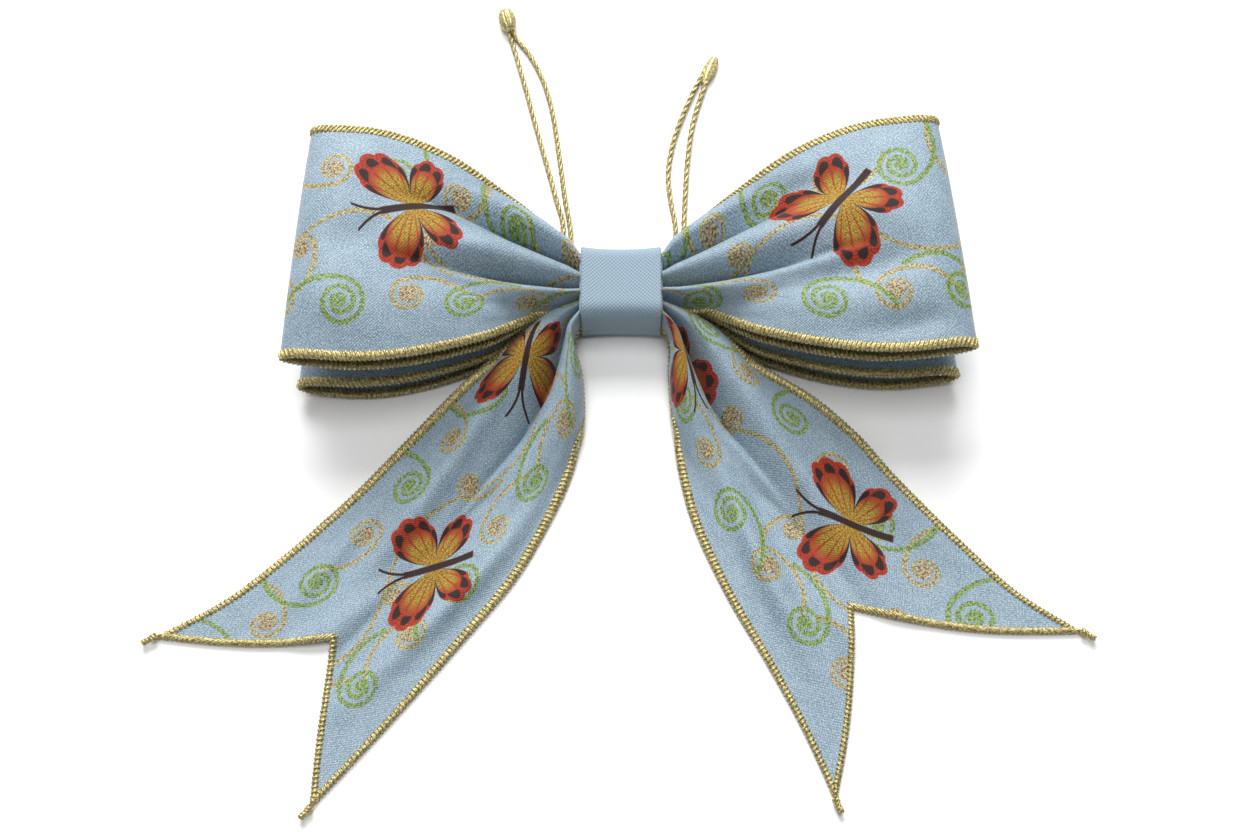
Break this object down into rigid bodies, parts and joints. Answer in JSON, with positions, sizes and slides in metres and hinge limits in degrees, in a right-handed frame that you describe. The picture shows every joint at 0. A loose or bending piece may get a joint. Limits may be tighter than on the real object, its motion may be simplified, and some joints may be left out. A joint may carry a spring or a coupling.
{
  "type": "pre-made gift bow",
  "caption": "Pre-made ribbon gift bow: two flattened loops a side, swallow-tail ends, a plain knot band and a doubled gold tie cord behind it.",
  "frame": {"origin": "middle of the flat back face of the knot band", "axes": "+Z out of the front of the bow, +X to its right-hand loops, +Y up towards the tie cord; the bow lies on its back"},
  "size_m": [0.242, 0.2258, 0.0316],
  "materials": {
    "printed_ribbon": "light blue woven ribbon, satin sheen, butterfly and scroll print",
    "plain_ribbon": "plain light blue cotton-like weave",
    "gold_edging": "overlocked metallic gold thread",
    "gold_cord": "twisted metallic gold cord",
    "binding_thread": "plain off-white thread",
    "hot_glue": "clear hot-melt glue"
  },
  "bodies": {
    "knot": {"knot_band": "plain_ribbon", "glue_pad": "hot_glue", "binding_thread": "binding_thread", "front_ribbon_waist": "printed_ribbon", "tail_ribbon_waist": "printed_ribbon", "rear_ribbon_waist": "printed_ribbon", "rear_cord_upper_strand": "gold_cord", "rear_cord_lower_strand": "gold_cord"},
    "front_left_loop_side": {"front_left_loop": "printed_ribbon", "front_left_loop_top_edging": "gold_edging", "front_left_loop_bottom_edging": "gold_edging"},
    "front_right_loop_side": {"front_right_loop": "printed_ribbon", "front_right_loop_top_edging": "gold_edging", "front_right_loop_bottom_edging": "gold_edging"},
    "rear_left_loop_side": {"rear_left_loop": "printed_ribbon", "rear_left_loop_top_edging": "gold_edging", "rear_left_loop_bottom_edging": "gold_edging"},
    "rear_right_loop_side": {"rear_right_loop": "printed_ribbon", "rear_right_loop_top_edging": "gold_edging", "rear_right_loop_bottom_edging": "gold_edging"},
    "left_tail_side": {"left_tail": "printed_ribbon", "left_tail_outer_edging": "gold_edging", "left_tail_inner_edging": "gold_edging", "left_tail_notch_edging": "gold_edging", "left_tail_outer_tip_thread": "gold_edging", "left_tail_inner_tip_thread": "gold_edging"},
    "right_tail_side": {"right_tail": "printed_ribbon", "right_tail_outer_edging": "gold_edging", "right_tail_inner_edging": "gold_edging", "right_tail_notch_edging": "gold_edging", "right_tail_outer_tip_thread": "gold_edging", "right_tail_inner_tip_thread": "gold_edging"},
    "left_cord_lobe": {"left_cord_left_strand": "gold_cord", "left_cord_right_strand": "gold_cord", "cord_end_knot": "gold_cord"},
    "right_cord_lobe": {"right_cord_left_strand": "gold_cord", "right_cord_right_strand": "gold_cord", "cord_fold_tip": "gold_cord"}
  },
  "joints": [
    {"name": "front_left_loop_lift", "type": "hinge", "parent": "knot", "child": "front_left_loop_side", "pos_m": [-0.011, 0, 0.0128], "axis": [0, 1, 0], "range_deg": [0, 20]},
    {"name": "front_right_loop_lift", "type": "hinge", "parent": "knot", "child": "front_right_loop_side", "pos_m": [0.011, 0, 0.0128], "axis": [0, -1, 0], "range_deg": [0, 20]},
    {"name": "rear_left_loop_swing", "type": "hinge", "parent": "knot", "child": "rear_left_loop_side", "pos_m": [-0.011, 0, 0], "axis": [0, 0, 1], "range_deg": [-5, 5]},
    {"name": "rear_right_loop_swing", "type": "hinge", "parent": "knot", "child": "rear_right_loop_side", "pos_m": [0.011, 0, 0], "axis": [0, 0, -1], "range_deg": [-5, 5]},
    {"name": "left_tail_swing", "type": "hinge", "parent": "knot", "child": "left_tail_side", "pos_m": [-0.011, -0.004, 0], "axis": [0, 0, 1], "range_deg": [-5, 10]},
    {"name": "right_tail_swing", "type": "hinge", "parent": "knot", "child": "right_tail_side", "pos_m": [0.011, -0.004, 0], "axis": [0, 0, -1], "range_deg": [-5, 10]},
    {"name": "left_cord_swing", "type": "hinge", "parent": "knot", "child": "left_cord_lobe", "pos_m": [-0.0113, 0.0061, 0], "axis": [0, 0, 1], "range_deg": [-12, 20]},
    {"name": "right_cord_swing", "type": "hinge", "parent": "knot", "child": "right_cord_lobe", "pos_m": [0.0113, 0.0061, 0], "axis": [0, 0, -1], "range_deg": [-12, 20]}
  ]
}
